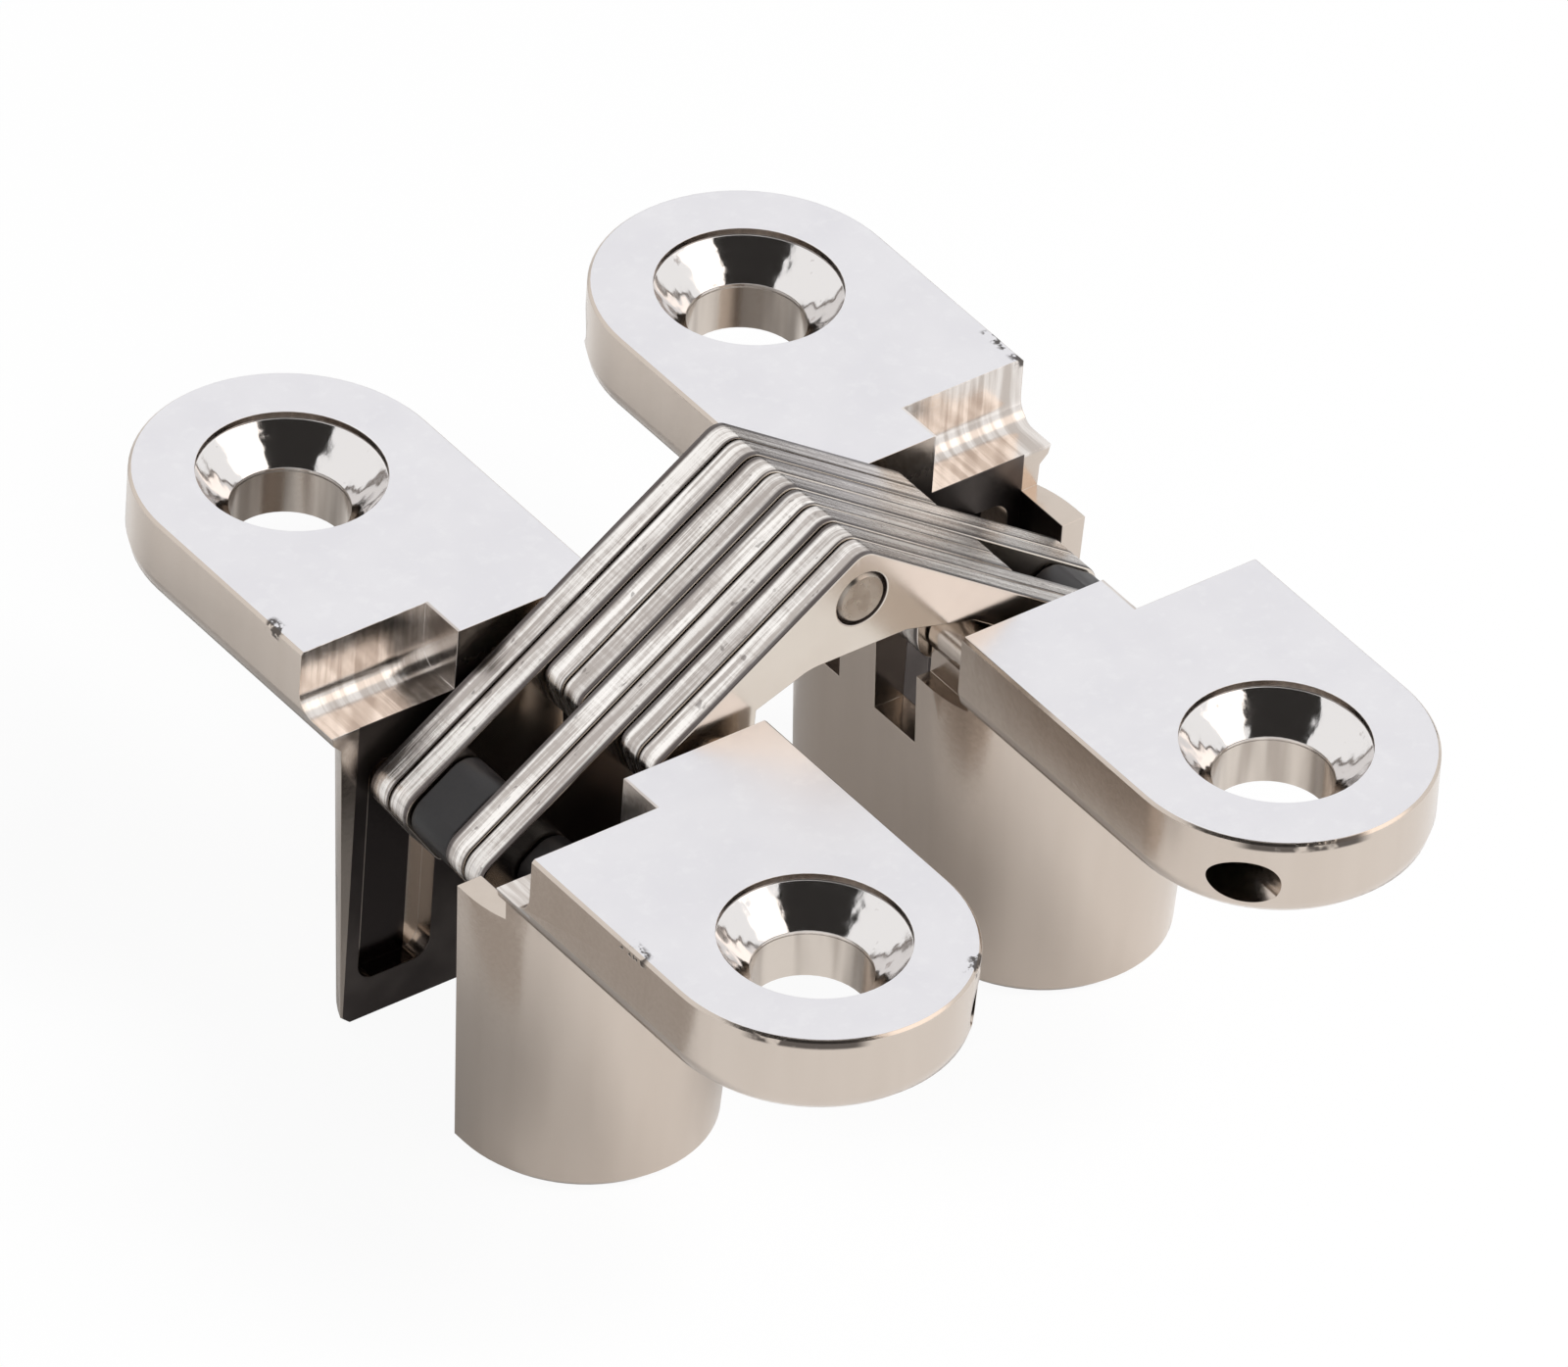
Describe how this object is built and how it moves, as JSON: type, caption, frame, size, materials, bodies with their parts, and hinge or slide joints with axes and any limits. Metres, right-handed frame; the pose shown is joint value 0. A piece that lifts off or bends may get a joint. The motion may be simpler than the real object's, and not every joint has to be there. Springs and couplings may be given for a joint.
{
  "type": "concealed door hinge",
  "caption": "Concealed hinge for a door edge: cup leaves joined by crossed link plates that fold into them as the door closes.",
  "frame": {"origin": "on the surface the open hinge stands on, below its centre pin and midway between the four screw holes", "axes": "+X from the left leaf to the right leaf, +Y along the leaves, +Z out of the faces, which lie at z = 16.8 mm"},
  "size_m": [0.0334, 0.0448, 0.0222],
  "materials": {
    "plated_casting": "satin nickel plate on a zinc die casting",
    "plated_link": "nickel plate, brushed edges",
    "steel_pin": "turned",
    "black_nylon": "moulded nylon"
  },
  "bodies": {
    "leaf_left": {"leaf_left": "plated_casting", "pivot_pin_left": "steel_pin"},
    "links_right": {"link_plate_3": "plated_link", "link_plate_4": "plated_link", "link_plate_7": "plated_link", "link_plate_8": "plated_link", "centre_pin": "steel_pin", "slider_pin_right": "steel_pin", "middle_spacer_right": "black_nylon", "end_spacer_right": "black_nylon"},
    "links_left": {"link_plate_1": "plated_link", "link_plate_2": "plated_link", "link_plate_5": "plated_link", "link_plate_6": "plated_link", "slider_pin_left": "steel_pin", "middle_spacer_left": "black_nylon", "end_spacer_left": "black_nylon"},
    "leaf_right": {"leaf_right": "plated_casting", "pivot_pin_right": "steel_pin"}
  },
  "joints": [
    {"name": "fold_left", "type": "hinge", "parent": "leaf_left", "child": "links_right", "pos_m": [-0.00619, 0, 0.01485], "axis": [0, -1, 0], "range_deg": [0, 119.49]},
    {"name": "scissor", "type": "hinge", "parent": "links_right", "child": "links_left", "pos_m": [0, 0, 0.0202], "axis": [0, -1, 0], "range_deg": [-59.48, 0]},
    {"name": "fold_right", "type": "hinge", "parent": "links_left", "child": "leaf_right", "pos_m": [0.00619, 0, 0.01485], "axis": [0, -1, 0], "range_deg": [0, 119.59]}
  ],
  "couplings": [
    {"joint": "scissor", "follows": "fold_left", "ratio": -0.4936},
    {"joint": "fold_right", "follows": "fold_left", "ratio": 1}
  ]
}
